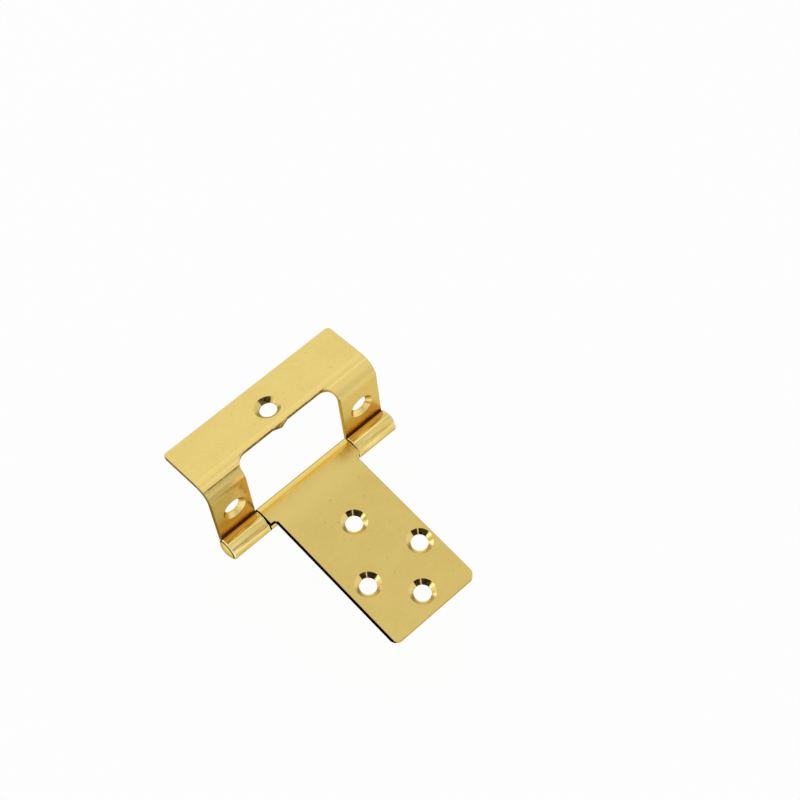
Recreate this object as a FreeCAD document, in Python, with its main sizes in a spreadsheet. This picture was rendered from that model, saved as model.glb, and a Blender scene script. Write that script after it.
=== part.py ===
import FreeCAD, Part
import math
import os
import Sketcher

# Cranked flush hinge, 50 mm: two pressed leaves and a riveted pin.
# Millimetres. X runs along the pin and Z is up. The flat leaf lies level with its underside, which
# seats on the door, at Z = 0, and the origin is midway between its two side holes. The pin is at +Y.

SIZES = {
    "sheet_thickness": 1.2,      # both leaves
    "barrel_radius": 3.0,        # outside of the rolled knuckles
    "barrel_length": 50.0,       # over the outer knuckles, and the width of the cranked leaf
    "pin_clearance": 0.05,       # radial, pin in its knuckles
    "knuckle_gap": 0.35,         # between neighbouring knuckles
    "seam_gap": 0.32,            # between the end of a roll and its own leaf
    "plate_width": 25.0,         # flat leaf
    "plate_reach": 44.3,         # pin axis to the end of the flat leaf
    "plate_corner": 2.0,
    "shoulder_width": 1.35,      # middle knuckle beyond each side of the plate
    "shoulder_stand": 0.1,       # shoulders clear of the back of the barrel
    "shoulder_round": 0.5,
    "plate_shift": 0.7,          # middle of the plate from the line of its holes, towards -X
    "slot_shift": 0.4,           # middle of the cut-out from the middle of its leaf, towards -X
    "slot_turn": 81.8,           # degrees of the bend that the cut-out takes
    "slot_corner": 3.1,
    "nib_height": 0.7,           # nib on the cut-out's upper edge
    "nib_place": 0.9,            # nib tip from the middle of the leaf, towards -X
    "nib_run": 2.3,              # half the length of the nib's foot
    "leg_straight": 17.6,        # pin axis to the start of the bend
    "bend_radius": 3.0,          # inside of the crank
    "crank_angle": 96.7,         # turn of the crank, bent a little past square
    "flange_run": 12.3,          # end of the bend to the flange's far edge
    "flange_corner": 1.0,
    "screw_hole": 4.2,
    "screw_head": 6.4,           # countersink at the surface
    "head_angle": 100.0,
    "end_margin": 5.3,           # end of the plate to its last hole
    "side_hole_step": 9.6,       # last hole to the pair of side holes, along the plate
    "side_margin": 4.5,          # long edge of the plate to a side hole
    "near_hole_reach": 15.7,     # pin axis to the first hole of the plate
    "leg_hole_reach": 10.2,      # pin axis to the holes in the legs
    "leg_hole_spread": 19.5,     # middle of the leaf to a hole in a leg
    "flange_hole_reach": 4.6,    # end of the bend to the hole in the flange
    "rivet_inset": 0.5,          # rim of a rivet head inside the barrel's rim
    "rivet_side": 0.3,           # straight side of a rivet head
    "rivet_dome": 0.65,
    "rivet_play": 0.03,          # knuckle end to rivet head
    "edge_break": 0.15,          # stamped edges on the show side of the leaves
    "open_angle": 96.1,          # opening shown, from flat
}
TINY = 1e-4
LEAST_CUT = 1e-6            # cubic millimetres that a cut has to take away
ROLL_TOP = 2.5 * math.pi    # where a roll runs into its leaf, a turn and a quarter from +Y

# Lengths that follow from the sizes above.
KNUCKLE = "(Sizes.plate_width + 2 * Sizes.shoulder_width)"
SLOT = f"({KNUCKLE} + 2 * Sizes.knuckle_gap)"
BORE = "(Sizes.barrel_radius - Sizes.sheet_thickness)"
BEND_OUTER = "(Sizes.bend_radius + Sizes.sheet_thickness)"
BEND_HEIGHT = f"({BORE} + {BEND_OUTER})"
SHOULDER = "(Sizes.barrel_radius + Sizes.shoulder_stand)"
SIDE_HOLES = "(Sizes.plate_reach - Sizes.end_margin - Sizes.side_hole_step)"
PLATE_MIDDLE = "-Sizes.plate_shift"
CRANK_MIDDLE = "Sizes.slot_shift - Sizes.plate_shift"


class Numbers:
    """The sizes and what follows from them, for placing the first drawing of each sketch."""

    def __init__(self, sizes):
        self.__dict__.update(sizes)
        self.knuckle = self.plate_width + 2 * self.shoulder_width
        self.slot = self.knuckle + 2 * self.knuckle_gap
        self.bore = self.barrel_radius - self.sheet_thickness
        self.bend_outer = self.bend_radius + self.sheet_thickness
        self.bend_height = self.bore + self.bend_outer
        self.side_holes = self.plate_reach - self.end_margin - self.side_hole_step
        self.shoulder = self.barrel_radius + self.shoulder_stand
        self.roll_end_height = self.bore - self.seam_gap
        self.roll_end = math.pi - math.asin(self.roll_end_height / self.barrel_radius)

    def around_bend(self, turn, radius, along=0):
        """(y, z) at a turn in degrees round the bend: distance from its axis, then along the sheet."""
        sine, cosine = math.sin(math.radians(turn)), math.cos(math.radians(turn))
        y = -self.leg_straight - radius * sine - along * cosine
        z = self.bend_height - radius * cosine + along * sine
        return y, z


def make_sheet(doc):
    sheet = doc.addObject("Spreadsheet::Sheet", "Sizes")
    for row, (alias, size) in enumerate(SIZES.items(), start=1):
        sheet.set(f"A{row}", alias)
        sheet.set(f"B{row}", str(size))
        sheet.setAlias(f"B{row}", alias)
    doc.recompute()
    return sheet


def new_body(doc, label):
    body = doc.addObject("PartDesign::Body", label)
    body.Label = label
    return body


def new_sketch(body, name, role, offset=None):
    """A sketch on one of the body's own origin planes, lifted off it by an expression if given."""
    sketch = body.newObject("Sketcher::SketchObject", name)
    plane = next(item for item in body.Origin.OriginFeatures if item.Role == role)
    sketch.AttachmentSupport = [(plane, "")]
    sketch.MapMode = "FlatFace"
    if offset:
        sketch.setExpression("AttachmentOffset.Base.z", offset)
    return sketch


def new_bend_sketch(body, name, num, turn, lift="0", height=0):
    """A sketch square to the bend's radius at the named turn and lifted off the bend's axis."""
    sketch = new_sketch(body, name, "XY_Plane")
    degrees = getattr(num, turn)
    lean = FreeCAD.Rotation(FreeCAD.Vector(1, 0, 0), 180 - degrees)
    sketch.AttachmentOffset = FreeCAD.Placement(FreeCAD.Vector(0, *num.around_bend(degrees, height)), lean)
    sketch.setExpression("AttachmentOffset.Base.y", f"-Sizes.leg_straight - {lift} * sin(Sizes.{turn})")
    sketch.setExpression("AttachmentOffset.Base.z", f"{BEND_HEIGHT} - {lift} * cos(Sizes.{turn})")
    sketch.setExpression("AttachmentOffset.Rotation.Angle", f"180 - Sizes.{turn}")
    return sketch


def line(sketch, start, end):
    return sketch.addGeometry(Part.LineSegment(FreeCAD.Vector(*start), FreeCAD.Vector(*end)), False)


def arc(sketch, centre, radius, first, last):
    circle = Part.Circle(FreeCAD.Vector(*centre), FreeCAD.Vector(0, 0, 1), radius)
    return sketch.addGeometry(Part.ArcOfCircle(circle, first, last), False)


def tie(sketch, kind, *places):
    sketch.addConstraint(Sketcher.Constraint(kind, *places))


def dimension(sketch, kind, places, expression, number):
    """A driven size; distances from the sketch's origin are written the positive way round."""
    index = sketch.addConstraint(Sketcher.Constraint(kind, *places, number))
    sketch.setExpression(f"Constraints[{index}]", expression)


def across(sketch, point, expression, number):
    places = (-1, 1, *point) if number > 0 else (*point, -1, 1)
    dimension(sketch, "DistanceX", places, expression, abs(number))


def upward(sketch, point, expression, number):
    places = (-1, 1, *point) if number > 0 else (*point, -1, 1)
    dimension(sketch, "DistanceY", places, expression, abs(number))


def rectangle(sketch, left, right, low, high):
    """Each side is (expression, number), measured from the sketch's origin."""
    corners = [(left[1], low[1], 0), (right[1], low[1], 0), (right[1], high[1], 0), (left[1], high[1], 0)]
    sides = [line(sketch, corners[i], corners[(i + 1) % 4]) for i in range(4)]
    for i in range(4):
        tie(sketch, "Coincident", sides[i], 2, sides[(i + 1) % 4], 1)
    for i, kind in enumerate(("Horizontal", "Vertical", "Horizontal", "Vertical")):
        tie(sketch, kind, sides[i])
    across(sketch, (sides[0], 1), *left)
    upward(sketch, (sides[0], 1), *low)
    across(sketch, (sides[2], 1), *right)
    upward(sketch, (sides[2], 1), *high)


def roll(sketch, num):
    """The rolled end of a leaf: outer arc, square-cut end and inner arc, open at the top of the roll."""
    outer = arc(sketch, (0, 0, 0), num.barrel_radius, num.roll_end, ROLL_TOP)
    inner = arc(sketch, (0, 0, 0), num.bore, num.roll_end, ROLL_TOP)
    cosine, sine = math.cos(num.roll_end), math.sin(num.roll_end)
    tip = (num.barrel_radius * cosine, num.barrel_radius * sine, 0)
    root = (num.bore * cosine, num.bore * sine, 0)
    end = line(sketch, tip, root)
    for curve in (outer, inner):
        tie(sketch, "Coincident", curve, 3, -1, 1)
    tie(sketch, "Coincident", outer, 1, end, 1)
    tie(sketch, "Coincident", inner, 1, end, 2)
    tie(sketch, "PointOnObject", -1, 1, end)
    dimension(sketch, "Radius", (outer,), "Sizes.barrel_radius", num.barrel_radius)
    dimension(sketch, "Radius", (inner,), BORE, num.bore)
    upward(sketch, (outer, 1), f"{BORE} - Sizes.seam_gap", num.roll_end_height)
    return outer, inner


def pad(body, name, sketch, length, both_ways=True):
    """Later features keep the joins between pads, so a seat stays a face of its own."""
    feature = body.newObject("PartDesign::Pad", name)
    feature.Profile = sketch
    feature.SideType = "Symmetric" if both_ways else "One side"
    feature.Refine = False
    feature.setExpression("Length", length)
    body.Document.recompute()


def cut_through(body, name, sketch):
    """A pocket right through, which has to take something away."""
    before = body.Shape.Volume
    feature = body.newObject("PartDesign::Pocket", name)
    feature.Profile = sketch
    feature.Type = "ThroughAll"
    feature.SideType = "Symmetric"
    body.Document.recompute()
    if not feature.Shape.Volume < before - LEAST_CUT:
        raise RuntimeError(f"{name} cuts nothing")
    return feature


def dress_edges(body, kind, name, measure, size, chosen):
    """Work on the body's edges for which chosen(edge) is true."""
    base = body.Tip
    names = [f"Edge{i}" for i, edge in enumerate(base.Shape.Edges, start=1) if chosen(edge)]
    if not names:
        raise RuntimeError(f"{name} finds no edges")
    feature = body.newObject(kind, name)
    feature.Base = (base, names)
    feature.Refine = False
    feature.setExpression(measure, size)
    body.Document.recompute()


def round_edges(body, name, radius, chosen):
    dress_edges(body, "PartDesign::Fillet", name, "Radius", radius, chosen)


def break_edges(body, name, chosen):
    dress_edges(body, "PartDesign::Chamfer", name, "Size", "Sizes.edge_break", chosen)


def corner_edge(corners):
    """A test for the straight edges that run from one end to the other of any of the given corners."""

    def chosen(edge):
        ends = [vertex.Point for vertex in edge.Vertexes]
        for corner in corners:
            first, last = [FreeCAD.Vector(*point) for point in corner]
            for start, end in ((first, last), (last, first)):
                if len(ends) == 2 and ends[0].isEqual(start, TINY) and ends[1].isEqual(end, TINY):
                    return True
        return False

    return chosen


def show_edge(shape, planes, radii):
    """A test for edges where the show side of a leaf meets a cut face, apart from the roll's smooth joints.

    The show side is flat in the given planes, each a point and a normal, and round about X elsewhere."""

    def on_show_side(face):
        surface = face.Surface
        if surface.TypeId == "Part::GeomCylinder":
            along = abs(surface.Axis.x) > 1 - TINY
            return along and any(abs(surface.Radius - radius) < TINY for radius in radii)
        if surface.TypeId != "Part::GeomPlane":
            return False
        for point, normal in planes:
            parallel = abs(surface.Axis.dot(FreeCAD.Vector(*normal))) > 1 - TINY
            apart = (surface.Position - FreeCAD.Vector(*point)).dot(FreeCAD.Vector(*normal))
            if parallel and abs(apart) < TINY:
                return True
        return False

    def chosen(edge):
        if all(abs(vertex.Point.y) < TINY for vertex in edge.Vertexes):
            return False
        faces = shape.ancestorsOfType(edge, Part.Face)
        return sum(on_show_side(face) for face in faces) == 1

    return chosen


def screw_holes(body, name, sketch, centres, reverse=False):
    """Countersunk holes from the sketch's plane; centres are pairs of (expression, number)."""
    for x_place, y_place in centres:
        centre = FreeCAD.Vector(x_place[1], y_place[1], 0)
        circle = Part.Circle(centre, FreeCAD.Vector(0, 0, 1), SIZES["screw_hole"] / 2)
        index = sketch.addGeometry(circle, False)
        dimension(sketch, "Diameter", (index,), "Sizes.screw_hole", SIZES["screw_hole"])
        for place, measure, axis in ((x_place, across, -2), (y_place, upward, -1)):
            if place[0]:
                measure(sketch, (index, 3), *place)
            else:
                tie(sketch, "PointOnObject", index, 3, axis)
    body.Document.recompute()
    before = body.Shape.Volume
    hole = body.newObject("PartDesign::Hole", name)
    hole.Profile = sketch
    body.Document.recompute()
    hole.Refine = False
    hole.DepthType = "ThroughAll"
    hole.HoleCutType = "Countersink"
    hole.HoleCutCustomValues = True
    hole.Reversed = reverse
    hole.setExpression("Diameter", "Sizes.screw_hole")
    hole.setExpression("HoleCutDiameter", "Sizes.screw_head")
    hole.setExpression("HoleCutCountersinkAngle", "Sizes.head_angle")
    body.Document.recompute()
    if not hole.Shape.Volume < before - LEAST_CUT:
        raise RuntimeError(f"{name} cuts nothing")
    return hole


def make_flat_leaf(doc, num):
    """A plate with four holes; its end is rolled into the middle knuckle."""
    body = new_body(doc, "flat_leaf")
    draw_middle_knuckle(body, num)
    plate = new_sketch(body, "PlateOutline", "XY_Plane", BORE)
    sides = (-num.plate_width / 2, num.plate_width / 2)
    left, right = [("Sizes.plate_width / 2", side) for side in sides]
    rectangle(plate, left, right, ("Sizes.plate_reach", -num.plate_reach), (SHOULDER, -num.shoulder))
    pad(body, "Plate", plate, "Sizes.sheet_thickness", both_ways=False)

    sheet = (num.bore, num.barrel_radius)
    ends = [[(x, -num.plate_reach, z) for z in sheet] for x in sides]
    shoulders = [[(x, -num.shoulder, z) for z in sheet] for x in sides]
    round_edges(body, "FlatCorners", "Sizes.plate_corner", corner_edge(ends))
    round_edges(body, "FlatShoulders", "Sizes.shoulder_round", corner_edge(shoulders))
    top = ((0, 0, num.barrel_radius), (0, 0, 1))
    stamped = show_edge(body.Tip.Shape, [top], [num.barrel_radius])
    break_edges(body, "FlatStampedEdges", stamped)

    holes = new_sketch(body, "FlatHoles", "XY_Plane", "Sizes.barrel_radius")
    middle = ("Sizes.plate_shift", num.plate_shift)
    spread = num.plate_width / 2 - num.side_margin
    spread_text = "(Sizes.plate_width / 2 - Sizes.side_margin)"
    right = (f"{spread_text} + Sizes.plate_shift", num.plate_shift + spread)
    left = (f"{spread_text} - Sizes.plate_shift", num.plate_shift - spread)
    near = ("Sizes.near_hole_reach", -num.near_hole_reach)
    far = ("Sizes.plate_reach - Sizes.end_margin", num.end_margin - num.plate_reach)
    pair = (SIDE_HOLES, -num.side_holes)
    screw_holes(body, "FlatScrewHoles", holes, [(middle, near), (left, pair), (right, pair), (middle, far)])
    return body


def draw_middle_knuckle(body, num):
    """The roll with the short stub of sheet that the plate grows from."""
    section = new_sketch(body, "KnuckleSection", "YZ_Plane")
    outer, inner = roll(section, num)
    top = line(section, (-num.shoulder, num.barrel_radius, 0), (0, num.barrel_radius, 0))
    under = line(section, (0, num.bore, 0), (-num.shoulder, num.bore, 0))
    end = line(section, (-num.shoulder, num.bore, 0), (-num.shoulder, num.barrel_radius, 0))
    tie(section, "Tangent", top, 2, outer, 2)
    tie(section, "Tangent", under, 1, inner, 2)
    tie(section, "Coincident", under, 2, end, 1)
    tie(section, "Coincident", end, 2, top, 1)
    for side in (top, under):
        tie(section, "Horizontal", side)
    tie(section, "Vertical", end)
    across(section, (end, 1), SHOULDER, -num.shoulder)
    pad(body, "MiddleKnuckle", section, KNUCKLE)


def make_cranked_leaf(doc, num):
    """A flange bent a little past square into two legs, which are rolled into the outer knuckles."""
    body = new_body(doc, "cranked_leaf")
    draw_crank(body, num)
    cut_slot(body, num)

    edge = num.barrel_length / 2
    faces = (num.bend_outer, num.bend_radius)
    tip = [num.around_bend(num.crank_angle, face, num.flange_run) for face in faces]
    corners = [[(x, *place) for place in tip] for x in (-edge, edge)]
    round_edges(body, "FlangeCorners", "Sizes.flange_corner", corner_edge(corners))
    legs_front = ((0, 0, num.bore), (0, 0, 1))
    lean = math.radians(num.crank_angle)
    flange_top = ((0, *tip[0]), (0, math.sin(lean), math.cos(lean)))
    stamped = show_edge(body.Tip.Shape, [legs_front, flange_top], [num.barrel_radius, num.bend_outer])
    break_edges(body, "CrankStampedEdges", stamped)

    legs = new_sketch(body, "LegHoles", "XY_Plane", BORE)
    reach = ("Sizes.leg_hole_reach", -num.leg_hole_reach)
    places = [(("Sizes.leg_hole_spread", side * num.leg_hole_spread), reach) for side in (-1, 1)]
    screw_holes(body, "LegScrewHoles", legs, places, reverse=True)

    flange = new_bend_sketch(body, "FlangeHole", num, "crank_angle", BEND_OUTER, num.bend_outer)
    place = ("Sizes.flange_hole_reach", num.flange_hole_reach)
    screw_holes(body, "FlangeScrewHole", flange, [((None, 0), place)])
    body.Placement.Rotation = FreeCAD.Rotation(FreeCAD.Vector(-1, 0, 0), num.open_angle)
    body.setExpression("Placement.Rotation.Angle", "Sizes.open_angle")
    return body


def draw_crank(body, num):
    """The section of the cranked leaf lying flat: roll, leg, bend and flange."""
    section = new_sketch(body, "CrankSection", "YZ_Plane")
    outer, inner = roll(section, num)
    turn = num.crank_angle
    centre = (-num.leg_straight, num.bend_height, 0)
    start, end = 1.5 * math.pi - math.radians(turn), 1.5 * math.pi
    outside = [(*num.around_bend(turn, num.bend_outer, run), 0) for run in (0, num.flange_run)]
    inside = [(*num.around_bend(turn, num.bend_radius, run), 0) for run in (0, num.flange_run)]
    back = line(section, (-num.leg_straight, num.barrel_radius, 0), (0, num.barrel_radius, 0))
    front = line(section, (0, num.bore, 0), (-num.leg_straight, num.bore, 0))
    outer_bend = arc(section, centre, num.bend_outer, start, end)
    inner_bend = arc(section, centre, num.bend_radius, start, end)
    top = line(section, outside[0], outside[1])
    tip = line(section, outside[1], inside[1])
    under = line(section, inside[1], inside[0])
    tie(section, "Tangent", back, 2, outer, 2)
    tie(section, "Tangent", front, 1, inner, 2)
    tie(section, "Tangent", front, 2, outer_bend, 2)
    tie(section, "Tangent", top, 1, outer_bend, 1)
    tie(section, "Tangent", back, 1, inner_bend, 2)
    tie(section, "Tangent", under, 2, inner_bend, 1)
    tie(section, "Coincident", top, 2, tip, 1)
    tie(section, "Coincident", tip, 2, under, 1)
    tie(section, "Coincident", outer_bend, 3, inner_bend, 3)
    for side in (back, front):
        tie(section, "Horizontal", side)
    tie(section, "Parallel", top, under)
    tie(section, "Perpendicular", top, tip)
    dimension(section, "Radius", (inner_bend,), "Sizes.bend_radius", num.bend_radius)
    across(section, (front, 2), "Sizes.leg_straight", -num.leg_straight)
    dimension(section, "Angle", (top,), "180 - Sizes.crank_angle", math.radians(180 - turn))
    dimension(section, "Distance", (top,), "Sizes.flange_run", num.flange_run)
    pad(body, "CrankRoll", section, "Sizes.barrel_length")


def cut_slot(body, num):
    """The opening for the flat leaf: through the barrel, between the legs and round most of the bend."""
    notch = new_bend_sketch(body, "SlotOutline", num, "slot_turn")
    right = (f"{SLOT} / 2 - Sizes.slot_shift", num.slot / 2 - num.slot_shift)
    left = (f"{SLOT} / 2 + Sizes.slot_shift", -num.slot / 2 - num.slot_shift)
    low = -num.leg_straight - 2 * num.barrel_radius
    radius = num.slot_corner
    foot = (-num.nib_place - num.nib_run, -num.nib_place + num.nib_run)
    tip = (-num.nib_place, -num.nib_height)
    past_barrel = line(notch, (left[1], low, 0), (right[1], low, 0))
    side_right = line(notch, (right[1], low, 0), (right[1], -radius, 0))
    turn_right = arc(notch, (right[1] - radius, -radius, 0), radius, 0, math.pi / 2)
    edge_right = line(notch, (right[1] - radius, 0, 0), (foot[1], 0, 0))
    nib_right = line(notch, (foot[1], 0, 0), (*tip, 0))
    nib_left = line(notch, (*tip, 0), (foot[0], 0, 0))
    edge_left = line(notch, (foot[0], 0, 0), (left[1] + radius, 0, 0))
    turn_left = arc(notch, (left[1] + radius, -radius, 0), radius, math.pi / 2, math.pi)
    side_left = line(notch, (left[1], -radius, 0), (left[1], low, 0))
    chain = [(past_barrel, 2, side_right, 1), (edge_right, 2, nib_right, 1), (nib_right, 2, nib_left, 1)]
    chain += [(nib_left, 2, edge_left, 1), (side_left, 2, past_barrel, 1)]
    for joint in chain:
        tie(notch, "Coincident", *joint)
    tie(notch, "Tangent", side_right, 2, turn_right, 1)
    tie(notch, "Tangent", edge_right, 1, turn_right, 2)
    tie(notch, "Tangent", edge_left, 2, turn_left, 1)
    tie(notch, "Tangent", side_left, 1, turn_left, 2)
    for level in (past_barrel, edge_right, edge_left):
        tie(notch, "Horizontal", level)
    for upright in (side_right, side_left):
        tie(notch, "Vertical", upright)
    for point in ((edge_right, 1), (edge_left, 2)):
        tie(notch, "PointOnObject", *point, -1)
    tie(notch, "Equal", turn_right, turn_left)
    dimension(notch, "Radius", (turn_right,), "Sizes.slot_corner", radius)
    across(notch, (past_barrel, 1), *left)
    across(notch, (past_barrel, 2), *right)
    upward(notch, (past_barrel, 1), "Sizes.leg_straight + 2 * Sizes.barrel_radius", low)
    across(notch, (nib_right, 1), "Sizes.nib_run - Sizes.nib_place", foot[1])
    across(notch, (nib_left, 2), "Sizes.nib_run + Sizes.nib_place", foot[0])
    across(notch, (nib_right, 2), "Sizes.nib_place", tip[0])
    upward(notch, (nib_right, 2), "Sizes.nib_height", tip[1])
    cut_through(body, "Slot", notch)


def make_pin(doc, num):
    """A pin with a low domed rivet head at each end."""
    body = new_body(doc, "hinge_pin")
    half = new_sketch(body, "PinHalf", "XY_Plane")
    seat = num.barrel_length / 2 + num.rivet_play
    rim_end = seat + num.rivet_side
    apex = rim_end + num.rivet_dome
    shaft = num.bore - num.pin_clearance
    rim = num.barrel_radius - num.rivet_inset
    dome = (rim ** 2 + num.rivet_dome ** 2) / (2 * num.rivet_dome)
    spread = math.asin(rim / dome)
    left_dome = arc(half, (dome - apex, 0, 0), dome, math.pi - spread, math.pi)
    left_rim = line(half, (-rim_end, rim, 0), (-seat, rim, 0))
    left_seat = line(half, (-seat, rim, 0), (-seat, shaft, 0))
    side = line(half, (-seat, shaft, 0), (seat, shaft, 0))
    right_seat = line(half, (seat, shaft, 0), (seat, rim, 0))
    right_rim = line(half, (seat, rim, 0), (rim_end, rim, 0))
    right_dome = arc(half, (apex - dome, 0, 0), dome, 0, spread)
    axis = line(half, (-apex, 0, 0), (apex, 0, 0))
    chain = [(left_dome, 1, left_rim, 1), (left_rim, 2, left_seat, 1), (left_seat, 2, side, 1)]
    chain += [(side, 2, right_seat, 1), (right_seat, 2, right_rim, 1), (right_rim, 2, right_dome, 2)]
    chain += [(right_dome, 1, axis, 2), (axis, 1, left_dome, 2)]
    for joint in chain:
        tie(half, "Coincident", *joint)
    for point in ((axis, 1), (axis, 2), (left_dome, 3), (right_dome, 3)):
        tie(half, "PointOnObject", *point, -1)
    for upright in (left_seat, right_seat):
        tie(half, "Vertical", upright)
    for level in (left_rim, side, right_rim):
        tie(half, "Horizontal", level)
    seat_text = "Sizes.barrel_length / 2 + Sizes.rivet_play"
    across(half, (side, 1), seat_text, -seat)
    across(half, (side, 2), seat_text, seat)
    rim_text = f"{seat_text} + Sizes.rivet_side"
    across(half, (left_rim, 1), rim_text, -rim_end)
    across(half, (right_rim, 2), rim_text, rim_end)
    across(half, (axis, 1), f"{rim_text} + Sizes.rivet_dome", -apex)
    across(half, (axis, 2), f"{rim_text} + Sizes.rivet_dome", apex)
    upward(half, (side, 1), f"{BORE} - Sizes.pin_clearance", shaft)
    upward(half, (left_seat, 1), "Sizes.barrel_radius - Sizes.rivet_inset", rim)
    upward(half, (right_seat, 2), "Sizes.barrel_radius - Sizes.rivet_inset", rim)
    turned = body.newObject("PartDesign::Revolution", "PinTurned")
    turned.Profile = half
    turned.ReferenceAxis = (half, ["H_Axis"])
    turned.Angle = 360
    doc.recompute()
    return body


def set_on_axis(body, x_place):
    """Every piece is drawn about the pin; the pin lies behind the side holes and below the seat."""
    body.setExpression("Placement.Base.x", x_place)
    body.setExpression("Placement.Base.y", SIDE_HOLES)
    body.setExpression("Placement.Base.z", f"-{BORE}")


def check(doc, bodies):
    for item in doc.Objects:
        if "Invalid" in item.State or "Error" in item.State:
            raise RuntimeError(f"{item.Name} failed: {item.State}")
    for body in bodies:
        shape = body.Shape
        if shape.isNull() or not shape.isValid() or len(shape.Solids) != 1:
            raise RuntimeError(f"{body.Label} is not one valid solid")


def main():
    doc = FreeCAD.newDocument("CrankedHinge")
    make_sheet(doc)
    num = Numbers(SIZES)
    bodies = [make_flat_leaf(doc, num), make_cranked_leaf(doc, num), make_pin(doc, num)]
    for body, x_place in zip(bodies, (PLATE_MIDDLE, CRANK_MIDDLE, CRANK_MIDDLE)):
        set_on_axis(body, x_place)
    doc.recompute()
    check(doc, bodies)
    os.makedirs("parts", exist_ok=True)
    for body in bodies:
        body.Shape.exportStep(f"parts/{body.Label}.step")
        print(body.Label, round(body.Shape.Volume, 2), body.Shape.BoundBox)


main()
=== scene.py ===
import bpy
import math
from mathutils import Matrix, Vector


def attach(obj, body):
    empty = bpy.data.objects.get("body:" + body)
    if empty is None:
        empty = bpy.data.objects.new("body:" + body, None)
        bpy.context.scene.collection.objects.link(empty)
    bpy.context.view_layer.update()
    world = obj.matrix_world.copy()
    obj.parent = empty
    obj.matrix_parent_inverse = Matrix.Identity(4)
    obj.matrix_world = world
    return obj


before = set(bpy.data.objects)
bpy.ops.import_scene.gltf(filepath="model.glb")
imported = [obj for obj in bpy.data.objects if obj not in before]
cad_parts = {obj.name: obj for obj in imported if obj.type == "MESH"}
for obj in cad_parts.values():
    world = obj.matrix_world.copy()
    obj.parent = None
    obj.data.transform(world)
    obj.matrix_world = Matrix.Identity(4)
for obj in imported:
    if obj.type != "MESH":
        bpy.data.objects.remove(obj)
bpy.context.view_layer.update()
scene = bpy.context.scene
scene.view_settings.view_transform = "Standard"
print("hinge loaded:", ", ".join(sorted(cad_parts)))

# at rest: where the pin lies, how many degrees the hinge is open, which way the legs' fronts face
pinSpot = (-0.0003, 0.0294, -0.0018)
openAngle = 96.1
legFront = (0.0, -0.9943, 0.1063)
xAxis, yAxis, zAxis = (1, 0, 0), (0, 1, 0), (0, 0, 1)
leftward, frontward = (-1, 0, 0), (0, -1, 0)


# small helpers for node trees
def newTree(name):
    mat = bpy.data.materials.new(name)
    mat.use_nodes = True
    tree = mat.node_tree
    tree.nodes.clear()
    return mat, tree


def addNode(tree, kind, **settings):
    node = tree.nodes.new(kind)
    for key, value in settings.items():
        setattr(node, key, value)
    return node


# a socket goes by its name, with _ for a space, or by its count: i0, i1 and so on
def setIn(tree, node, **values):
    for key, value in values.items():
        counted = key[0] == "i" and key[1:].isdigit()
        socket = node.inputs[int(key[1:])] if counted else node.inputs[key.replace("_", " ")]
        if isinstance(value, bpy.types.NodeSocket):
            tree.links.new(value, socket)
        else:
            socket.default_value = value
    return node


def mathNode(tree, operation, a, b=0.0):
    node = addNode(tree, "ShaderNodeMath", operation=operation)
    return setIn(tree, node, i0=a, i1=b).outputs[0]


def plus(tree, a, b):
    return mathNode(tree, "ADD", a, b)


def times(tree, *factors):
    product = factors[0]
    for factor in factors[1:]:
        product = mathNode(tree, "MULTIPLY", product, factor)
    return product


def larger(tree, a, b):
    return mathNode(tree, "MAXIMUM", a, b)


def inverse(tree, mask):
    return mathNode(tree, "SUBTRACT", 1.0, mask)


def gapTo(tree, value, centre):
    return mathNode(tree, "ABSOLUTE", mathNode(tree, "SUBTRACT", value, centre))


def rangeNode(tree, value, span, toLow=0.0, toHigh=1.0, smooth=True):
    node = addNode(tree, "ShaderNodeMapRange", interpolation_type="SMOOTHSTEP" if smooth else "LINEAR")
    return setIn(tree, node, i0=value, i1=span[0], i2=span[1], i3=toLow, i4=toHigh).outputs[0]


def fall(tree, value, span):
    return rangeNode(tree, value, span, 1.0, 0.0)


def between(tree, value, start, end):
    return times(tree, rangeNode(tree, value, start), fall(tree, value, end))


def mixColour(tree, factor, a, b):
    node = addNode(tree, "ShaderNodeMix", data_type="RGBA")
    return setIn(tree, node, i0=factor, i6=a, i7=b).outputs[2]


def noiseNode(tree, vector, scale, detail, rough=0.5):
    node = addNode(tree, "ShaderNodeTexNoise")
    return setIn(tree, node, Vector=vector, Scale=scale, Detail=detail, Roughness=rough).outputs[0]


def stretch(tree, vector, scale):
    node = addNode(tree, "ShaderNodeMapping")
    return setIn(tree, node, Vector=vector, Scale=scale).outputs[0]


def alongNode(tree, vector, axis):
    node = addNode(tree, "ShaderNodeVectorMath", operation="DOT_PRODUCT")
    return setIn(tree, node, i0=vector, i1=axis).outputs["Value"]


def fromPin(tree, spot):
    node = addNode(tree, "ShaderNodeVectorMath", operation="SUBTRACT")
    return setIn(tree, node, i0=spot, i1=pinSpot).outputs[0]


# distance from the pin's axis, for tones that follow the rolled knuckles
def pinReach(tree, spot):
    across = addNode(tree, "ShaderNodeVectorMath", operation="MULTIPLY")
    across = setIn(tree, across, i0=fromPin(tree, spot), i1=(0, 1, 1)).outputs[0]
    length = addNode(tree, "ShaderNodeVectorMath", operation="LENGTH")
    return setIn(tree, length, i0=across).outputs["Value"]


# bright brass plating, shared by all pieces, each with its own dictionary
plating = {
    "cloudDetail": 3.0, "fineDetail": 4.0, "fineRough": 0.6, "drawnDetail": 3.0, "speckDetail": 1.0,
    "toneShare": 0.5, "toneSpread": (0.36, 0.64), "fineSpread": (0.3, 0.7),
    "grainDetail": 4.0, "grainRough": 0.7,
}


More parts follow.
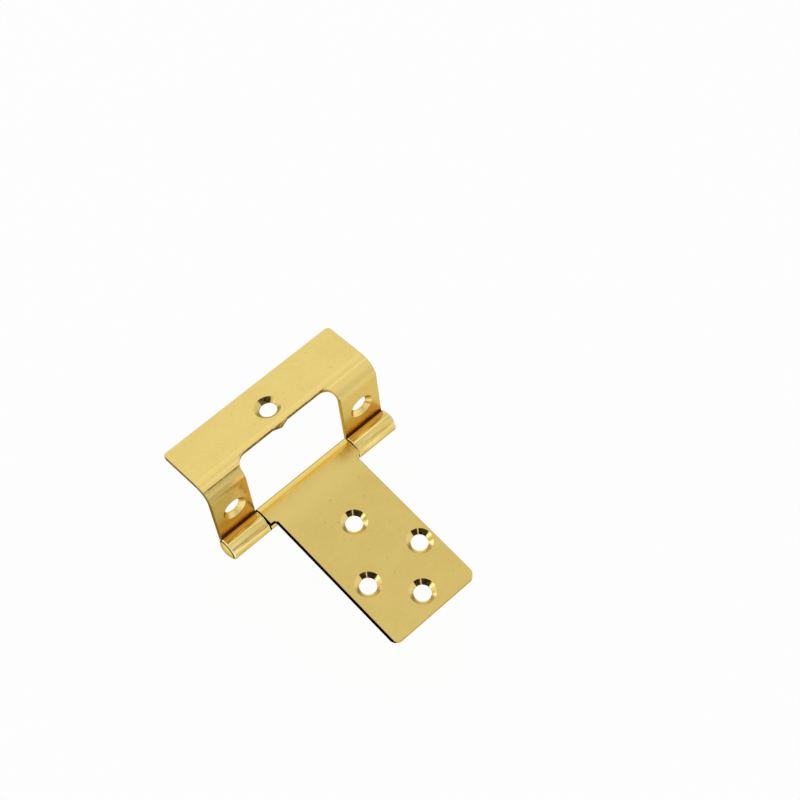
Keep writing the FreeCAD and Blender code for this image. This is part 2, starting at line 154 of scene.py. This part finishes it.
def brassPlating(name, look, extra=None):
    mat, tree = newTree(name)
    place = addNode(tree, "ShaderNodeTexCoord")
    spot, facing = place.outputs["Object"], place.outputs["Normal"]
    cloud = noiseNode(tree, spot, look["cloudScale"], plating["cloudDetail"])                    # broad drift
    fine = noiseNode(tree, spot, look["fineScale"], plating["fineDetail"], plating["fineRough"])   # mottling
    drawn = stretch(tree, spot, look["drawnAxis"])
    drawn = noiseNode(tree, drawn, look["drawnScale"], plating["drawnDetail"])                   # drawn lines
    speck = noiseNode(tree, spot, look["speckScale"], plating["speckDetail"])
    speck = times(tree, rangeNode(tree, speck, look["speckSpread"]), look["speckDepth"])
    tone = plus(tree, times(tree, cloud, plating["toneShare"]), times(tree, fine, plating["toneShare"]))
    tone = rangeNode(tree, tone, plating["toneSpread"])
    colour = mixColour(tree, tone, look["brass"], look["brassDeep"])
    colour = mixColour(tree, speck, colour, look["speckTone"])
    rough = rangeNode(tree, fine, plating["fineSpread"], *look["roughSpan"])
    rim = look["rimTint"]
    if extra:
        colour, rough, rim = extra(tree, spot, facing, colour, rough, rim)
    height = plus(tree, times(tree, cloud, look["waveShare"]), times(tree, drawn, look["drawnShare"]))
    height = plus(tree, height, times(tree, fine, look["grainShare"]))
    bump = addNode(tree, "ShaderNodeBump")
    setIn(tree, bump, Strength=look["bumpStrength"], Distance=look["bumpHeight"], Height=height)
    shader = addNode(tree, "ShaderNodeBsdfPrincipled")
    setIn(tree, shader, Base_Color=colour, Metallic=1.0, Roughness=rough)
    setIn(tree, shader, Normal=bump.outputs[0], Specular_Tint=rim)
    out = addNode(tree, "ShaderNodeOutputMaterial")
    tree.links.new(shader.outputs[0], out.inputs[0])
    return mat


def grainNode(tree, spot, look):
    return noiseNode(tree, spot, look["fineScale"], plating["grainDetail"], plating["grainRough"])


def dress(node, mat):
    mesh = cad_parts[node].data
    mesh.materials.clear()
    mesh.materials.append(mat)


flatLeaf = {
    "brass": (0.87, 0.660, 0.207, 1), "brassDeep": (0.83, 0.625, 0.188, 1), "rimTint": (0.50, 0.38, 0.22, 1),
    "speckTone": (0.45, 0.32, 0.09, 1), "speckScale": 900, "speckSpread": (0.70, 0.78), "speckDepth": 0.35,
    "cloudScale": 160, "fineScale": 1300, "drawnAxis": (1, 0.06, 1), "drawnScale": 700,
    "roughSpan": (0.10, 0.17), "waveShare": 0.6, "drawnShare": 0.15, "grainShare": 0.10,
    "bumpStrength": 0.25, "bumpHeight": 0.00012,
    # sheared edges: painted shade, dark on the left, in a strip of the top beside it, and at the knuckle's
    # step; brown on the right
    "edgeFacing": (0.655, 0.70), "edgeDark": (0.004, 0.0026, 0.001, 1), "edgeRough": 0.15,
    "shadeStripAcross": (-0.01288, -0.01278), "shadeStripAlong": (0.0256, 0.0262),
    "stepFacing": (0.50, 0.60), "stepAcross": (-0.01325, -0.01312), "stepHeight": (-0.0001, 0.0001),
    "edgeBrown": (0.30, 0.20, 0.06, 1), "brownDepth": 0.6,
    # countersinks: cut bright, with painted shade on one side, left off along one line
    "sunkFrom": (0.70, 0.74), "sunkTo": (0.80, 0.84), "sunkTone": (0.94, 0.72, 0.26, 1), "sunkRough": 0.24,
    "sunkShade": (0.030, 0.019, 0.005, 1), "sunkShadeFacing": (-0.439, -0.469, 0.766),
    "sunkShadeSpread": (0.885, 0.915), "sunkShadeGrain": (0.40, 0.62), "sunkShadeThin": 0.86,
    "unshadedFacing": (0.730, -0.683, 0), "unshadedAt": 0.105, "unshadedSpread": (0.02, 0.045),
    # paler and duller towards the roll: the paler tone is painted light that offsets the roll's reflection
    "footFacing": (0.98, 0.995), "footReach": (0.0035, 0.0105),
    "footPaintedLight": (0.91, 0.70, 0.232, 1), "footRough": 0.08,
}


def flatLeafTones(tree, spot, facing, colour, rough, rim):
    across = alongNode(tree, spot, xAxis)
    up = alongNode(tree, facing, zAxis)
    # painted shade: left-facing edges, a strip of the top beside them and the knuckle's step go dark
    edge = rangeNode(tree, alongNode(tree, facing, leftward), flatLeaf["edgeFacing"])
    shadeStrip = fall(tree, alongNode(tree, spot, yAxis), flatLeaf["shadeStripAlong"])
    shadeStrip = times(tree, fall(tree, across, flatLeaf["shadeStripAcross"]), shadeStrip)
    step = rangeNode(tree, alongNode(tree, facing, frontward), flatLeaf["stepFacing"])
    step = times(tree, step, fall(tree, across, flatLeaf["stepAcross"]))
    step = times(tree, step, rangeNode(tree, alongNode(tree, spot, zAxis), flatLeaf["stepHeight"]))
    dark = larger(tree, larger(tree, edge, shadeStrip), step)
    plain = rangeNode(tree, alongNode(tree, facing, xAxis), flatLeaf["edgeFacing"])
    colour = mixColour(tree, times(tree, plain, flatLeaf["brownDepth"]), colour, flatLeaf["edgeBrown"])
    colour = mixColour(tree, dark, colour, flatLeaf["edgeDark"])

    sunk = between(tree, up, flatLeaf["sunkFrom"], flatLeaf["sunkTo"])
    sunk = times(tree, sunk, inverse(tree, dark))
    colour = mixColour(tree, sunk, colour, flatLeaf["sunkTone"])
    rim = mixColour(tree, sunk, rim, flatLeaf["sunkTone"])
    # painted shade on one side of each countersink, left off along one line
    unshadedLine = gapTo(tree, alongNode(tree, facing, flatLeaf["unshadedFacing"]), flatLeaf["unshadedAt"])
    sunkShade = rangeNode(tree, alongNode(tree, facing, flatLeaf["sunkShadeFacing"]), flatLeaf["sunkShadeSpread"])
    sunkShade = times(tree, sunk, sunkShade, rangeNode(tree, unshadedLine, flatLeaf["unshadedSpread"]))
    grain = grainNode(tree, spot, flatLeaf)
    thin = rangeNode(tree, grain, flatLeaf["sunkShadeGrain"], 1.0, flatLeaf["sunkShadeThin"])
    colour = mixColour(tree, times(tree, sunkShade, thin), colour, flatLeaf["sunkShade"])
    rough = plus(tree, times(tree, rough, inverse(tree, sunk)), times(tree, sunk, flatLeaf["sunkRough"]))
    rough = plus(tree, rough, times(tree, dark, flatLeaf["edgeRough"]))

    # painted light: paler on the plate near the roll, offsetting the roll's reflection in it
    foot = fall(tree, pinReach(tree, spot), flatLeaf["footReach"])
    foot = times(tree, rangeNode(tree, up, flatLeaf["footFacing"]), foot)
    rough = plus(tree, rough, times(tree, foot, flatLeaf["footRough"]))
    colour = mixColour(tree, times(tree, foot, inverse(tree, dark)), colour, flatLeaf["footPaintedLight"])
    # the painted edge shade also darkens the rim tint
    return colour, rough, mixColour(tree, dark, rim, flatLeaf["edgeDark"])


dress("flat_leaf", brassPlating("flatLeafBrass", flatLeaf, flatLeafTones))
print("flat leaf plated")

crankedLeaf = {
    "brass": (0.87, 0.675, 0.228, 1), "brassDeep": (0.84, 0.645, 0.205, 1), "rimTint": (0.50, 0.38, 0.22, 1),
    "speckTone": (0.45, 0.32, 0.09, 1), "speckScale": 850, "speckSpread": (0.71, 0.79), "speckDepth": 0.3,
    "cloudScale": 150, "fineScale": 1200, "drawnAxis": (0.06, 1, 1), "drawnScale": 700,
    "roughSpan": (0.11, 0.18), "waveShare": 0.6, "drawnShare": 0.25, "grainShare": 0.10,
    "bumpStrength": 0.25, "bumpHeight": 0.00012,
    # legs: painted shade, darker on the left; warm beside the cut-out; painted reflection, a deeper orange
    # towards the seam
    "rollReach": (0.00305, 0.00315), "legFacing": (0.70, 0.88), "legShade": (0.60, 0.43, 0.125, 1),
    "legAcross": (-0.022, 0.022), "legShares": (1.0, 0.25), "legRough": 0.10,
    "warmTone": (0.98, 0.64, 0.20, 1), "warmDepth": 0.8,
    "warmFrom": (-0.0205, -0.0160), "warmTo": (-0.0140, -0.0130),
    "amber": (0.84, 0.52, 0.16, 1), "amberReach": (0.0036, 0.0110),
    # bend: painted reflections, a paler shoulder, and on the left a darker band with a dark line
    "bendFacing": (0.30, 0.60), "bendEnd": (0.0384, 0.0390), "bendRough": 0.14,
    "highlightFacing": (0.60, 0.76), "bendHighlight": (0.945, 0.725, 0.245, 1), "bendSide": (-0.0150, -0.0120),
    "bendDarkReflection": (0.58, 0.43, 0.14, 1), "darkReflectionFrom": (0.74, 0.89), "darkReflectionTo": (0.90, 0.92),
    "darkReflectionGrain": (0.36, 0.56), "darkReflectionShares": (0.55, 1.0),
    "bendLine": (0.20, 0.13, 0.03, 1), "lineFrom": (0.885, 0.893), "lineTo": (0.912, 0.920),
    "lineGrain": (0.40, 0.58), "lineShares": (0.45, 1.0),
    # rolls: dark drawn streaks, and pale streaks that are painted highlights
    "streakTone": (0.66, 0.43, 0.10, 1), "streakHighlight": (1.0, 0.84, 0.40, 1), "streakDepth": 0.6,
    "streakAxis": (0.10, 1, 1), "streakScale": 1500, "streakNoise": (3.0, 0.6),
    "streakDark": (0.50, 0.66), "highlightSpread": (0.34, 0.48),
    # sheared edges: brown; painted shade, darker on the outer left side; darker along the brink of the
    # cut-out
    "edgeFacing": (0.655, 0.70), "edgeBrown": (0.42, 0.29, 0.09, 1), "edgeDepth": 0.45,
    "outerSide": (-0.0245, -0.0235), "outerShade": (0.16, 0.10, 0.03, 1), "outerShadeDepth": 0.8,
    "brinkFacing": (-0.045, 0.0), "brinkUp": (0.97, 0.985), "brinkWall": (0.50, 0.65),
    "brinkLeft": (-0.0140, -0.0120), "brinkRight": (0.0110, 0.0130), "brinkTone": (0.26, 0.18, 0.05, 1),
    "brinkGrain": (0.38, 0.58), "brinkShares": (0.35, 1.0),
    # countersinks: cut bright in the legs, with painted shade on one side in the flange
    "bowlFrom": (0.735, 0.755), "bowlTo": (0.785, 0.805), "bowlReach": (0.0134, 0.0138),
    "bowlTone": (1.0, 0.78, 0.29, 1), "bowlGrain": (0.36, 0.56), "bowlShares": (0.5, 1.0),
    "sunkFrom": (0.40, 0.50), "sunkTo": (0.88, 0.93), "sunkAlong": (0.0390, 0.0394), "sunkRough": 0.16,
    "sunkShade": (0.030, 0.020, 0.005, 1), "sunkShadeFacing": (-0.252, -0.407, 0.878),
    "sunkShadeSpread": (0.925, 0.955), "sunkShadeGrain": (0.40, 0.62), "sunkShadeThin": 0.80,
}


def crankedLeafTones(tree, spot, facing, colour, rough, rim):
    across = alongNode(tree, spot, xAxis)
    along = alongNode(tree, spot, yAxis)
    up = alongNode(tree, facing, zAxis)
    ahead = alongNode(tree, facing, legFront)
    reach = pinReach(tree, spot)
    grain = grainNode(tree, spot, crankedLeaf)
    roll = fall(tree, reach, crankedLeaf["rollReach"])
    sheet = inverse(tree, roll)
    # painted shade: the legs' fronts darker, most on the left
    front = times(tree, rangeNode(tree, ahead, crankedLeaf["legFacing"]), sheet)
    leg = times(tree, front, rangeNode(tree, across, crankedLeaf["legAcross"], *crankedLeaf["legShares"]))
    colour = mixColour(tree, leg, colour, crankedLeaf["legShade"])

    bent = times(tree, sheet, fall(tree, along, crankedLeaf["bendEnd"]))
    bend = times(tree, rangeNode(tree, up, crankedLeaf["bendFacing"]), bent)
    # painted reflections on the bend: a paler shoulder, and on the left a darker band and a dark line
    pale = times(tree, bend, rangeNode(tree, up, crankedLeaf["highlightFacing"]))
    colour = mixColour(tree, pale, colour, crankedLeaf["bendHighlight"])
    left = times(tree, fall(tree, across, crankedLeaf["bendSide"]), bent)
    darkReflection = times(tree, left, between(tree, up, crankedLeaf["darkReflectionFrom"], crankedLeaf["darkReflectionTo"]))
    darkReflection = times(tree, darkReflection, rangeNode(tree, grain, crankedLeaf["darkReflectionGrain"], *crankedLeaf["darkReflectionShares"]))
    colour = mixColour(tree, darkReflection, colour, crankedLeaf["bendDarkReflection"])
    line = times(tree, left, between(tree, up, crankedLeaf["lineFrom"], crankedLeaf["lineTo"]))
    line = times(tree, line, rangeNode(tree, grain, crankedLeaf["lineGrain"], *crankedLeaf["lineShares"]))
    colour = mixColour(tree, line, colour, crankedLeaf["bendLine"])
    rough = plus(tree, rough, times(tree, bend, crankedLeaf["bendRough"]))
    rough = plus(tree, rough, times(tree, front, crankedLeaf["legRough"]))

    warm = between(tree, across, crankedLeaf["warmFrom"], crankedLeaf["warmTo"])
    warm = times(tree, front, warm, crankedLeaf["warmDepth"])
    colour = mixColour(tree, warm, colour, crankedLeaf["warmTone"])
    # painted reflection: the legs a deeper orange towards the seam
    seamReflection = times(tree, front, fall(tree, reach, crankedLeaf["amberReach"]))
    colour = mixColour(tree, seamReflection, colour, crankedLeaf["amber"])

    # the pale streaks on the rolls are painted highlights; the dark ones are drawn streaks
    streak = stretch(tree, spot, crankedLeaf["streakAxis"])
    streak = noiseNode(tree, streak, crankedLeaf["streakScale"], *crankedLeaf["streakNoise"])
    darker = times(tree, rangeNode(tree, streak, crankedLeaf["streakDark"]), roll, crankedLeaf["streakDepth"])
    paintedGlint = times(tree, fall(tree, streak, crankedLeaf["highlightSpread"]), roll, crankedLeaf["streakDepth"])
    colour = mixColour(tree, darker, colour, crankedLeaf["streakTone"])
    colour = mixColour(tree, paintedGlint, colour, crankedLeaf["streakHighlight"])

    cut = mathNode(tree, "ABSOLUTE", alongNode(tree, facing, xAxis))
    cut = rangeNode(tree, cut, crankedLeaf["edgeFacing"])
    colour = mixColour(tree, times(tree, cut, crankedLeaf["edgeDepth"]), colour, crankedLeaf["edgeBrown"])
    # painted shade: the outer left side's edges darker
    outer = times(tree, cut, fall(tree, across, crankedLeaf["outerSide"]), sheet, crankedLeaf["outerShadeDepth"])
    colour = mixColour(tree, outer, colour, crankedLeaf["outerShade"])

    bowl = times(tree, between(tree, ahead, crankedLeaf["bowlFrom"], crankedLeaf["bowlTo"]), sheet)
    bowl = times(tree, bowl, fall(tree, reach, crankedLeaf["bowlReach"]))
    bowl = times(tree, bowl, rangeNode(tree, grain, crankedLeaf["bowlGrain"], *crankedLeaf["bowlShares"]))
    colour = mixColour(tree, bowl, colour, crankedLeaf["bowlTone"])

    fold = alongNode(tree, facing, frontward)
    brink = rangeNode(tree, fold, crankedLeaf["brinkFacing"])
    brink = times(tree, brink, rangeNode(tree, up, crankedLeaf["brinkUp"]))
    brink = larger(tree, brink, rangeNode(tree, fold, crankedLeaf["brinkWall"]))
    brink = times(tree, brink, between(tree, across, crankedLeaf["brinkLeft"], crankedLeaf["brinkRight"]))
    brink = times(tree, brink, rangeNode(tree, grain, crankedLeaf["brinkGrain"], *crankedLeaf["brinkShares"]))
    colour = mixColour(tree, brink, colour, crankedLeaf["brinkTone"])

    flange = rangeNode(tree, along, crankedLeaf["sunkAlong"])
    sunk = times(tree, flange, between(tree, up, crankedLeaf["sunkFrom"], crankedLeaf["sunkTo"]))
    rough = plus(tree, rough, times(tree, sunk, crankedLeaf["sunkRough"]))
    # painted shade on one side of the flange's countersinks
    side = alongNode(tree, facing, crankedLeaf["sunkShadeFacing"])
    hole = times(tree, rangeNode(tree, side, crankedLeaf["sunkShadeSpread"]), flange)
    thin = rangeNode(tree, grain, crankedLeaf["sunkShadeGrain"], 1.0, crankedLeaf["sunkShadeThin"])
    colour = mixColour(tree, times(tree, hole, thin), colour, crankedLeaf["sunkShade"])
    return colour, rough, rim


dress("cranked_leaf", brassPlating("crankedLeafBrass", crankedLeaf, crankedLeafTones))
print("cranked leaf plated")

hingePin = {
    "brass": (0.87, 0.68, 0.24, 1), "brassDeep": (0.80, 0.60, 0.18, 1), "rimTint": (0.50, 0.38, 0.22, 1),
    "speckTone": (0.40, 0.28, 0.08, 1), "speckScale": 1100, "speckSpread": (0.70, 0.78), "speckDepth": 0.4,
    "cloudScale": 420, "fineScale": 1800, "drawnAxis": (0.06, 1, 1), "drawnScale": 900,
    "roughSpan": (0.14, 0.24), "waveShare": 1.0, "drawnShare": 0.2, "grainShare": 0.15,
    "bumpStrength": 0.3, "bumpHeight": 0.00012,
    # painted shade: dark in the groove beside the knuckle
    "neckShade": (0.03, 0.018, 0.006, 1), "neckAlong": (0.02532, 0.02540), "neckRough": 0.3,
}


def pinTones(tree, spot, facing, colour, rough, rim):
    # painted shade in the groove beside the knuckle
    along = mathNode(tree, "ABSOLUTE", alongNode(tree, fromPin(tree, spot), xAxis))
    neck = fall(tree, along, hingePin["neckAlong"])
    colour = mixColour(tree, neck, colour, hingePin["neckShade"])
    return colour, plus(tree, rough, times(tree, neck, hingePin["neckRough"])), rim


dress("hinge_pin", brassPlating("pinBrass", hingePin, pinTones))
print("pin plated")


# small pieces that turn with the cranked leaf
def rideAlong(name, verts, faces, mat):
    mesh = bpy.data.meshes.new(name)
    mesh.from_pydata(verts, [], faces)
    mesh.polygons.foreach_set("use_smooth", [len(face.vertices) == 4 for face in mesh.polygons])
    piece = bpy.data.objects.new(name, mesh)
    scene.collection.objects.link(piece)
    mesh.materials.append(mat)
    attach(piece, "cabinet_side")


# rounded lips at the ends of the outer knuckles, along the roll only, in a paler brass that is a painted
# highlight
lip = {
    "brass": (1.0, 0.89, 0.52, 1), "brassDeep": (0.96, 0.82, 0.42, 1), "rimTint": (0.50, 0.38, 0.22, 1),
    "speckTone": (0.45, 0.32, 0.09, 1), "speckScale": 1000, "speckSpread": (0.70, 0.78), "speckDepth": 0.3,
    "cloudScale": 400, "fineScale": 1600, "drawnAxis": (1, 1, 1), "drawnScale": 900,
    "roughSpan": (0.10, 0.18), "waveShare": 0.6, "drawnShare": 0.1, "grainShare": 0.1,
    "bumpStrength": 0.2, "bumpHeight": 0.0001,
    "from": 152.0, "to": 448.0, "steps": 72, "round": 12, "outside": 0.00299,
    # name, place along the pin, side it faces, radius
    "ends": [
        ("leftKnuckleLip", -0.02528, -1, 0.00023), ("rightKnuckleLip", 0.02468, 1, 0.00023),
        ("leftInnerLip", -0.01490, 1, 0.00016), ("rightInnerLip", 0.01350, -1, 0.00016),
    ],
}
# the lips' paler brass is a painted highlight
lipHighlightBrass = brassPlating("lipHighlightBrass", lip)


def knuckleLip(name, end, side, thick):
    verts, faces = [], []
    for step in range(lip["steps"] + 1):
        turn = math.radians(lip["from"] + (lip["to"] - lip["from"]) * step / lip["steps"] - openAngle)
        for spoke in range(lip["round"]):
            bead = 2 * math.pi * spoke / lip["round"]
            reach = lip["outside"] - thick + thick * math.cos(bead)
            along = end + side * thick * math.sin(bead)
            verts.append((along, pinSpot[1] + reach * math.cos(turn), pinSpot[2] + reach * math.sin(turn)))
    for step in range(lip["steps"]):
        for spoke in range(lip["round"]):
            after = (spoke + 1) % lip["round"]
            low, high = step * lip["round"], (step + 1) * lip["round"]
            quad = (low + spoke, high + spoke, high + after, low + after)
            faces.append(quad if side > 0 else quad[::-1])
    first = tuple(range(lip["round"]))
    last = tuple(range(lip["steps"] * lip["round"], (lip["steps"] + 1) * lip["round"]))
    faces += [first if side < 0 else first[::-1], last if side > 0 else last[::-1]]
    rideAlong(name, verts, faces, lipHighlightBrass)


for name, end, side, thick in lip["ends"]:
    knuckleLip(name, end, side, thick)
print("knuckle lips rounded")

# a dark brown fill in the seam between each outer roll and its leg: painted shade standing in for the
# crease's shade
seam = {
    "brass": (0.12, 0.045, 0.012, 1), "brassDeep": (0.075, 0.028, 0.008, 1), "rimTint": (0.30, 0.20, 0.10, 1),
    "speckTone": (0.03, 0.015, 0.005, 1), "speckScale": 1000, "speckSpread": (0.66, 0.76), "speckDepth": 0.4,
    "cloudScale": 500, "fineScale": 1600, "drawnAxis": (0.1, 1, 1), "drawnScale": 900,
    "roughSpan": (0.35, 0.50), "waveShare": 0.6, "drawnShare": 0.1, "grainShare": 0.1,
    "bumpStrength": 0.2, "bumpHeight": 0.0001,
    "bore": 0.0018, "outer": 0.0030, "gap": 0.00032, "face": 0.00284, "back": 0.0024, "hollow": 0.00006,
    "steps": 40, "rows": 6, "wave": 0.00002, "waves": 3.0, "bite": 0.00001,
    "spans": [("leftSeamFill", -0.0252, -0.0150), ("rightSeamFill", 0.0136, 0.0246)],
}
# painted shade: the fill's dark brown stands in for the crease's shade
seamShadeBrown = brassPlating("seamShade", seam)


def seamFill(name, low, high):
    turn = math.radians(openAngle)
    rise = math.asin((seam["bore"] - seam["gap"]) / seam["outer"])     # where the roll ends
    verts, faces = [], []
    count = seam["rows"] + 3
    for step in range(seam["steps"] + 1):
        share = step / seam["steps"]
        ripple = seam["wave"] * math.sin(2 * math.pi * seam["waves"] * share)
        section = []
        for row in range(seam["rows"] + 1):
            part = row / seam["rows"]
            out = (seam["face"] + ripple - seam["hollow"] * math.sin(math.pi * part)) * math.cos(rise)
            foot = out * math.tan(rise) - seam["bite"]
            section.append((-out, foot + (seam["bore"] + seam["bite"] - foot) * part))
        inner = seam["back"] * math.cos(rise)
        section += [(-inner, seam["bore"] + seam["bite"]), (-inner, inner * math.tan(rise) - seam["bite"])]
        for along, up in section:
            y = along * math.cos(turn) + up * math.sin(turn)
            z = up * math.cos(turn) - along * math.sin(turn)
            verts.append((low + (high - low) * share, pinSpot[1] + y, pinSpot[2] + z))
    for step in range(seam["steps"]):
        here, ahead = step * count, (step + 1) * count
        for row in range(count):
            after = (row + 1) % count
            faces.append((here + row, here + after, ahead + after, ahead + row))
    last = seam["steps"] * count
    faces += [tuple(range(count))[::-1], tuple(range(last, last + count))]
    rideAlong(name, verts, faces, seamShadeBrown)


for name, low, high in seam["spans"]:
    seamFill(name, low, high)
print("seams filled")

# white table with a low surround, clear of the leaf at every opening
table = {
    "height": -0.0305, "reach": 0.9, "rings": (0.1, 0.25, 0.5, 0.75, 1.0), "bend": 0.12, "rim": 0.05,
    "steps": 12, "sides": 96, "white": (0.95, 0.95, 0.95, 1), "glow": 0.94,
}


def tableWhite():
    mat, tree = newTree("tableWhite")
    ray = addNode(tree, "ShaderNodeLightPath")
    seen = larger(tree, ray.outputs["Is Camera Ray"], ray.outputs["Is Glossy Ray"])
    seen = larger(tree, seen, ray.outputs["Is Transmission Ray"])
    paint = setIn(tree, addNode(tree, "ShaderNodeBsdfDiffuse"), Color=table["white"])
    glow = setIn(tree, addNode(tree, "ShaderNodeEmission"), Color=(1, 1, 1, 1), Strength=1.0)
    blend = addNode(tree, "ShaderNodeMixShader")
    setIn(tree, blend, i0=times(tree, seen, table["glow"]), i1=paint.outputs[0], i2=glow.outputs[0])
    out = addNode(tree, "ShaderNodeOutputMaterial")
    tree.links.new(blend.outputs[0], out.inputs[0])
    return mat


def tableTop():
    rings = [(table["reach"] * share, table["height"]) for share in table["rings"]]
    for step in range(1, table["steps"] + 1):
        turn = math.pi / 2 * step / table["steps"]
        radius = table["reach"] + table["bend"] * math.sin(turn)
        rings.append((radius, table["height"] + table["bend"] * (1 - math.cos(turn))))
    rings.append((table["reach"] + table["bend"], table["height"] + table["bend"] + table["rim"]))
    verts, faces = [(0.0, 0.0, table["height"])], []
    for radius, height in rings:
        for side in range(table["sides"]):
            angle = 2 * math.pi * side / table["sides"]
            verts.append((radius * math.cos(angle), radius * math.sin(angle), height))
    for side in range(table["sides"]):
        after = (side + 1) % table["sides"]
        faces.append((0, 1 + side, 1 + after))
        for ring in range(len(rings) - 1):
            low, high = 1 + ring * table["sides"], 1 + (ring + 1) * table["sides"]
            faces.append((low + side, high + side, high + after, low + after))
    mesh = bpy.data.meshes.new("table")
    mesh.from_pydata(verts, [], faces)
    mesh.polygons.foreach_set("use_smooth", [True] * len(mesh.polygons))
    sheet = bpy.data.objects.new("table", mesh)
    scene.collection.objects.link(sheet)
    mesh.materials.append(tableWhite())


tableTop()
print("table set")

# the room: brightest behind the flange, with a dim sloping arc behind the camera that has one bright gap
room = {
    "levels": [(-1.0, 0.78), (-0.6, 0.84), (0.34, 0.765), (0.69, 0.93), (1.0, 0.96)],
    "arcToward": (-0.683, -0.730, 0), "arcAside": (0.730, -0.683, 0), "arcSides": (0.53, 0.57),
    "arcTop": 0.565, "arcDrop": 0.19, "arcHalf": (0.095, 0.115), "dim": 0.28,
    "gapAt": 0.25, "gapHalf": (0.09, 0.14), "pole": 1.0001,
}


def roomLight():
    world = bpy.data.worlds.new("room")
    scene.world = world
    world.use_nodes = True
    tree = world.node_tree
    tree.nodes.clear()
    aim = addNode(tree, "ShaderNodeTexCoord").outputs["Generated"]
    ramp = addNode(tree, "ShaderNodeValToRGB")
    stops = ramp.color_ramp.elements
    while len(stops) < len(room["levels"]):
        stops.new(0.5)
    for stop, (toward, level) in zip(stops, room["levels"]):
        stop.position = toward / 2 + 0.5
        stop.color = (level, level, level, 1)
    setIn(tree, ramp, i0=rangeNode(tree, alongNode(tree, aim, yAxis), (-1.0, 1.0), smooth=False))
    rise = alongNode(tree, aim, zAxis)
    flat = mathNode(tree, "SUBTRACT", room["pole"], times(tree, rise, rise))      # never quite zero overhead
    flat = mathNode(tree, "SQRT", flat)
    toward = mathNode(tree, "DIVIDE", alongNode(tree, aim, room["arcToward"]), flat)
    aside = mathNode(tree, "DIVIDE", alongNode(tree, aim, room["arcAside"]), flat)
    low, high = room["arcTop"] - room["arcDrop"], room["arcTop"]
    middle = rangeNode(tree, toward, (0.0, 1.0), low, high, smooth=False)
    arc = fall(tree, gapTo(tree, rise, middle), room["arcHalf"])
    zone = times(tree, rangeNode(tree, toward, room["arcSides"]), arc)
    zone = times(tree, zone, rangeNode(tree, gapTo(tree, aside, room["gapAt"]), room["gapHalf"]))
    shade = rangeNode(tree, zone, (0.0, 1.0), 1.0, room["dim"], smooth=False)
    back = setIn(tree, addNode(tree, "ShaderNodeBackground"), Color=ramp.outputs[0], Strength=shade)
    out = addNode(tree, "ShaderNodeOutputWorld")
    tree.links.new(back.outputs[0], out.inputs[0])


roomLight()

softBoxes = [
    {"name": "stripBox", "place": (0.30, 0.09, 0.86), "aim": (0, 0.03, 0),
     "size": (0.07, 0.50), "watts": 0.07},
    {"name": "sideBox", "place": (-0.29, 0.88, 0.17), "aim": (0, 0.02, 0),
     "size": (0.35, 0.22), "watts": 0.30},
    {"name": "leftBox", "place": (-0.82, 0.34, 0.30), "aim": (0, 0.02, 0),
     "size": (0.25, 0.20), "watts": 0.30},
]
for box in softBoxes:
    light = bpy.data.lights.new(box["name"], "AREA")
    light.shape = "RECTANGLE"
    light.size, light.size_y = box["size"]
    light.energy = box["watts"]
    lamp = bpy.data.objects.new(box["name"], light)
    lamp.location = box["place"]
    lamp.rotation_euler = (Vector(box["aim"]) - Vector(box["place"])).to_track_quat("-Z", "Y").to_euler()
    scene.collection.objects.link(lamp)
print("room and soft boxes lit")

# camera at the photograph's place, aimed from the pin
shot = {
    "azimuth": -43.104, "elevation": 62.133, "roll": 0.571, "distance": 0.419839,
    "slide": (0.021249, 0.019435), "pin": (0, 0.0294, -0.0018),
    "lens": 80.006, "sensor": 36.0, "clip": (0.01, 10.0),
}


def takeAim():
    azimuth, elevation, roll = (math.radians(shot[key]) for key in ("azimuth", "elevation", "roll"))
    out = math.cos(elevation)
    back = Vector((math.sin(azimuth) * out, -math.cos(azimuth) * out, math.sin(elevation)))
    level = Vector(zAxis).cross(back).normalized()
    upright = back.cross(level)
    right = math.cos(roll) * level + math.sin(roll) * upright
    up = -math.sin(roll) * level + math.cos(roll) * upright
    place = Vector(shot["pin"]) + back * shot["distance"] + right * shot["slide"][0] + up * shot["slide"][1]
    lens = bpy.data.cameras.new("shot")
    lens.lens = shot["lens"]
    lens.sensor_width = shot["sensor"]
    lens.clip_start, lens.clip_end = shot["clip"]
    camera = bpy.data.objects.new("shot", lens)
    turn = Matrix((right, up, back)).transposed().to_4x4()
    camera.matrix_world = Matrix.Translation(place) @ turn
    scene.collection.objects.link(camera)
    scene.camera = camera


takeAim()
print("camera placed")
